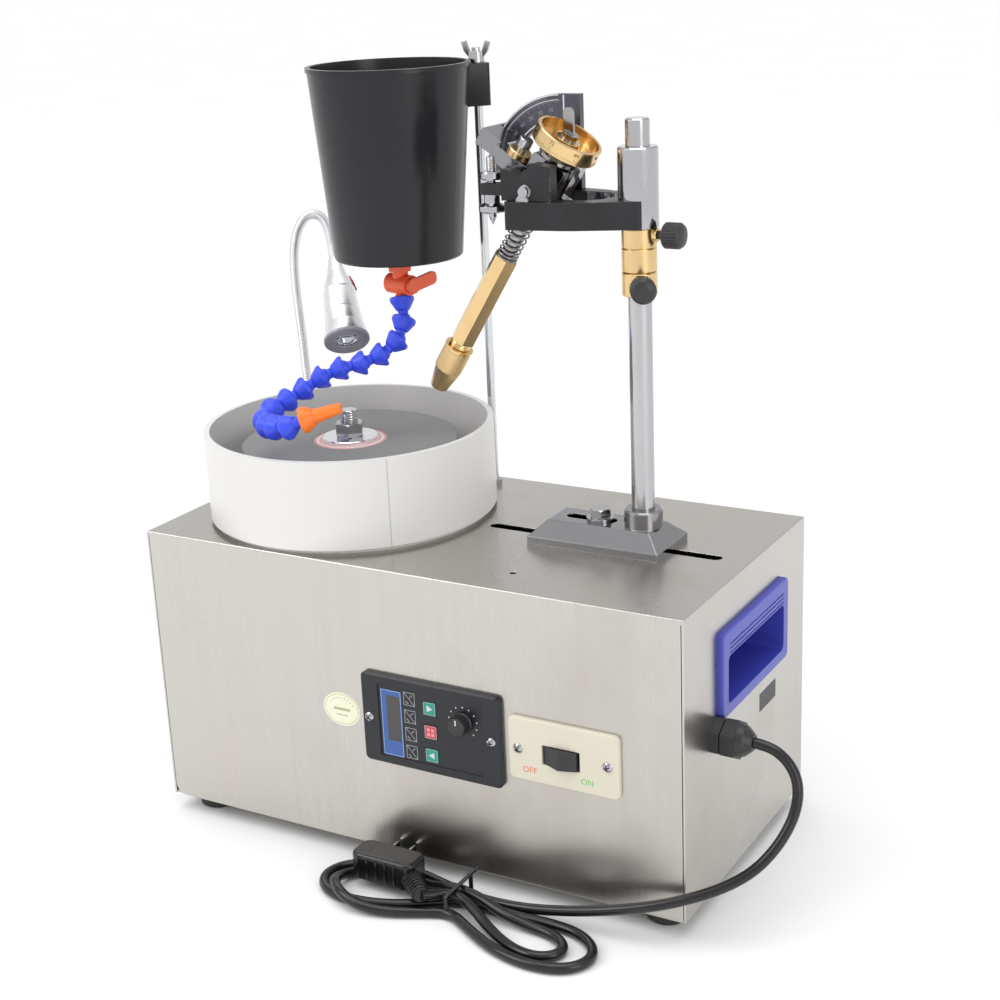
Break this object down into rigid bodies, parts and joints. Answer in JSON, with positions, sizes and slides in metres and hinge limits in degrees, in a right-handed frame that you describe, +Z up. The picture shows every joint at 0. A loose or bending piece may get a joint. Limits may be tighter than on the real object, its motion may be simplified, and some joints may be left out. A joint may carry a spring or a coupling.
{
  "type": "gem faceting machine",
  "caption": "Bench faceting machine: a motor-driven lap in a splash bowl, drip bucket, gooseneck lamp and an indexed, tilting stone holder on a mast.",
  "frame": {"origin": "middle of the machine's outline at bench level, cord left out", "axes": "+X to the machine's right, -Y to its front, +Z up from the bench"},
  "size_m": [0.4583, 0.274, 0.5233],
  "materials": {
    "case_steel": "brushed stainless sheet, vertical grain",
    "foot_rubber": "matt rubber",
    "bright_steel": "bright plated",
    "zinc_steel": "zinc plated",
    "bowl_plastic": "satin white pipe plastic",
    "motor_alloy": "cast and machined",
    "panel_black": "fine satin",
    "board_green": "solder mask",
    "plate_cream": "satin",
    "grip_blue": "fine grain",
    "gland_black": "satin nylon",
    "cord_black": "satin vinyl",
    "lap_grit": "fine diamond grit",
    "knob_black": "satin",
    "rocker_black": "satin",
    "key_green": "printed film",
    "key_red": "printed film",
    "bucket_black": "satin",
    "tap_orange": "moulded acetal",
    "nozzle_orange": "moulded acetal",
    "hose_blue": "moulded acetal",
    "neck_chrome": "chrome",
    "lamp_chrome": "polished",
    "lamp_grey": "satin grey",
    "button_red": "translucent",
    "base_chrome": "polished",
    "brass": "turned and lacquered",
    "arm_black": "semi-gloss black casting",
    "scale_dark": "dark engraved steel",
    "quill_steel": "blackened steel"
  },
  "bodies": {
    "case": {"case_cover": "case_steel", "base_plate": "case_steel", "feet": "foot_rubber", "fasteners": "bright_steel", "splash_bowl": "bowl_plastic", "motor_housing": "motor_alloy", "spindle_bearings": "bright_steel", "control_panel": "panel_black", "control_board": "board_green", "switch_plate": "plate_cream", "switch_body": "panel_black", "handle_cup": "grip_blue", "window_insert": "panel_black", "stand_rod": "zinc_steel", "cable_gland": "gland_black", "power_lead": "cord_black", "cord_hank": "cord_black", "cord_tie": "cord_black", "plug": "cord_black"},
    "spindle": {"rotor_shaft": "zinc_steel", "lap_flanges": "bright_steel", "lap_disc": "lap_grit", "spindle_nut": "bright_steel"},
    "speed_dial": {"speed_knob": "knob_black"},
    "power_rocker": {"rocker": "rocker_black"},
    "up_key": {"key_up": "key_green"},
    "stop_key": {"key_stop": "key_red"},
    "down_key": {"key_down": "key_green"},
    "bucket": {"water_bucket": "bucket_black", "bucket_clip": "bucket_black", "tap_body": "tap_orange", "hose_upper": "hose_blue"},
    "tap_handle": {"tap_lever": "tap_orange"},
    "hose_bend": {"hose_middle": "hose_blue"},
    "hose_tail": {"hose_end": "hose_blue"},
    "hose_nozzle": {"nozzle": "nozzle_orange"},
    "rod_wing": {"wing_nut": "bright_steel"},
    "lamp_neck": {"gooseneck": "neck_chrome"},
    "lamp_head": {"lamp_shell": "lamp_chrome", "lamp_bezel": "lamp_grey"},
    "lamp_switch": {"lamp_button": "button_red"},
    "mast": {"mast_base": "base_chrome", "mast_post": "bright_steel", "base_bolt": "bright_steel"},
    "collar": {"stop_collar": "brass"},
    "collar_screw": {"stop_knob": "knob_black"},
    "lift": {"lift_sleeve": "brass"},
    "lift_screw": {"lift_knob": "knob_black"},
    "swing_arm": {"arm": "arm_black", "arm_sleeve": "base_chrome", "quadrant": "scale_dark", "pivot_bracket": "arm_black", "bracket_hardware": "bright_steel"},
    "head": {"carrier": "base_chrome"},
    "pawl": {"pawl_lever": "bright_steel"},
    "quill": {"index_wheel": "brass", "quill_shaft": "quill_steel", "quill_spring": "quill_steel", "quill_body": "brass"},
    "collet": {"collet_nut": "brass"}
  },
  "joints": [
    {"name": "spindle_spin", "type": "hinge", "parent": "case", "child": "spindle", "pos_m": [-0.0971, 0.0065, 0.262], "axis": [0, 0, 1], "continuous": true},
    {"name": "speed_turn", "type": "hinge", "parent": "case", "child": "speed_dial", "pos_m": [0.0471, -0.0975, 0.1188], "axis": [0, -1, 0], "range_deg": [-135, 135]},
    {"name": "rocker_tip", "type": "hinge", "parent": "case", "child": "power_rocker", "pos_m": [0.1164, -0.0905, 0.108], "axis": [0, 0, 1], "range_deg": [-12, 0]},
    {"name": "up_press", "type": "slide", "parent": "case", "child": "up_key", "axis": [0, 1, 0], "range_m": [0, 0.0008], "stiffness_N_per_m": 300},
    {"name": "stop_press", "type": "slide", "parent": "case", "child": "stop_key", "axis": [0, 1, 0], "range_m": [0, 0.0008], "stiffness_N_per_m": 300},
    {"name": "down_press", "type": "slide", "parent": "case", "child": "down_key", "axis": [0, 1, 0], "range_m": [0, 0.0008], "stiffness_N_per_m": 300},
    {"name": "bucket_swing", "type": "hinge", "parent": "case", "child": "bucket", "pos_m": [-0.0311, 0.09, 0.48], "axis": [0, 0, 1], "range_deg": [-8, 25]},
    {"name": "tap_turn", "type": "hinge", "parent": "bucket", "child": "tap_handle", "pos_m": [-0.0731, 0.0455, 0.3645], "axis": [0.9744, -0.225, 0], "range_deg": [-90, 0]},
    {"name": "hose_elbow", "type": "hinge", "parent": "bucket", "child": "hose_bend", "pos_m": [-0.09827, 0.00544, 0.31242], "axis": [0, 0, 1], "range_deg": [-12, 12]},
    {"name": "hose_wrist", "type": "hinge", "parent": "hose_bend", "child": "hose_tail", "pos_m": [-0.11646, -0.05896, 0.2864], "axis": [0, 0, 1], "range_deg": [-12, 12]},
    {"name": "nozzle_turn", "type": "hinge", "parent": "hose_tail", "child": "hose_nozzle", "pos_m": [-0.07799, -0.07097, 0.29764], "axis": [0, 0, 1], "range_deg": [-10, 10]},
    {"name": "wing_turn", "type": "hinge", "parent": "case", "child": "rod_wing", "pos_m": [-0.0311, 0.09, 0.508], "axis": [0, 0, 1], "range_deg": [-180, 180]},
    {"name": "lamp_swivel", "type": "hinge", "parent": "case", "child": "lamp_neck", "pos_m": [-0.1871, 0.0865, 0.219], "axis": [0, 0, 1], "range_deg": [-30, 45]},
    {"name": "lamp_tilt", "type": "hinge", "parent": "lamp_neck", "child": "lamp_head", "pos_m": [-0.1526, 0.0805, 0.371], "axis": [0.7543, 0.6565, 0], "range_deg": [-12, 12]},
    {"name": "lamp_press", "type": "slide", "parent": "lamp_head", "child": "lamp_switch", "axis": [-0.8026, -0.5907, -0.0832], "range_m": [0, 0.0008], "stiffness_N_per_m": 300},
    {"name": "mast_slide", "type": "slide", "parent": "case", "child": "mast", "axis": [1, 0, 0], "range_m": [-0.028, 0.045]},
    {"name": "collar_height", "type": "slide", "parent": "mast", "child": "collar", "axis": [0, 0, 1], "range_m": [-0.04, 0.01]},
    {"name": "collar_screw_turn", "type": "hinge", "parent": "collar", "child": "collar_screw", "pos_m": [0.1249, 0.01, 0.3845], "axis": [0.5, -0.866, 0], "range_deg": [-180, 180]},
    {"name": "lift_height", "type": "slide", "parent": "collar", "child": "lift", "axis": [0, 0, 1], "range_m": [0, 0.03]},
    {"name": "lift_screw_turn", "type": "hinge", "parent": "lift", "child": "lift_screw", "pos_m": [0.1249, 0.01, 0.4145], "axis": [1, 0, 0], "range_deg": [-180, 180]},
    {"name": "arm_swing", "type": "hinge", "parent": "lift", "child": "swing_arm", "pos_m": [0.1249, 0.01, 0.419], "axis": [0, 0, 1], "range_deg": [-20, 60]},
    {"name": "head_tilt", "type": "hinge", "parent": "swing_arm", "child": "head", "pos_m": [0.0624, 0.0065, 0.442], "axis": [0, 1, 0], "range_deg": [-32, 23]},
    {"name": "pawl_lift", "type": "hinge", "parent": "head", "child": "pawl", "pos_m": [0.07559, 0.0065, 0.43612], "axis": [0, 1, 0], "range_deg": [0, 12]},
    {"name": "index_spin", "type": "hinge", "parent": "head", "child": "quill", "pos_m": [0.0624, 0.0065, 0.442], "axis": [0.5299, 0, 0.848], "continuous": true},
    {"name": "collet_turn", "type": "hinge", "parent": "quill", "child": "collet", "pos_m": [-0.01179, 0.0065, 0.32327], "axis": [0.5299, 0, 0.848], "range_deg": [-180, 180]}
  ]
}
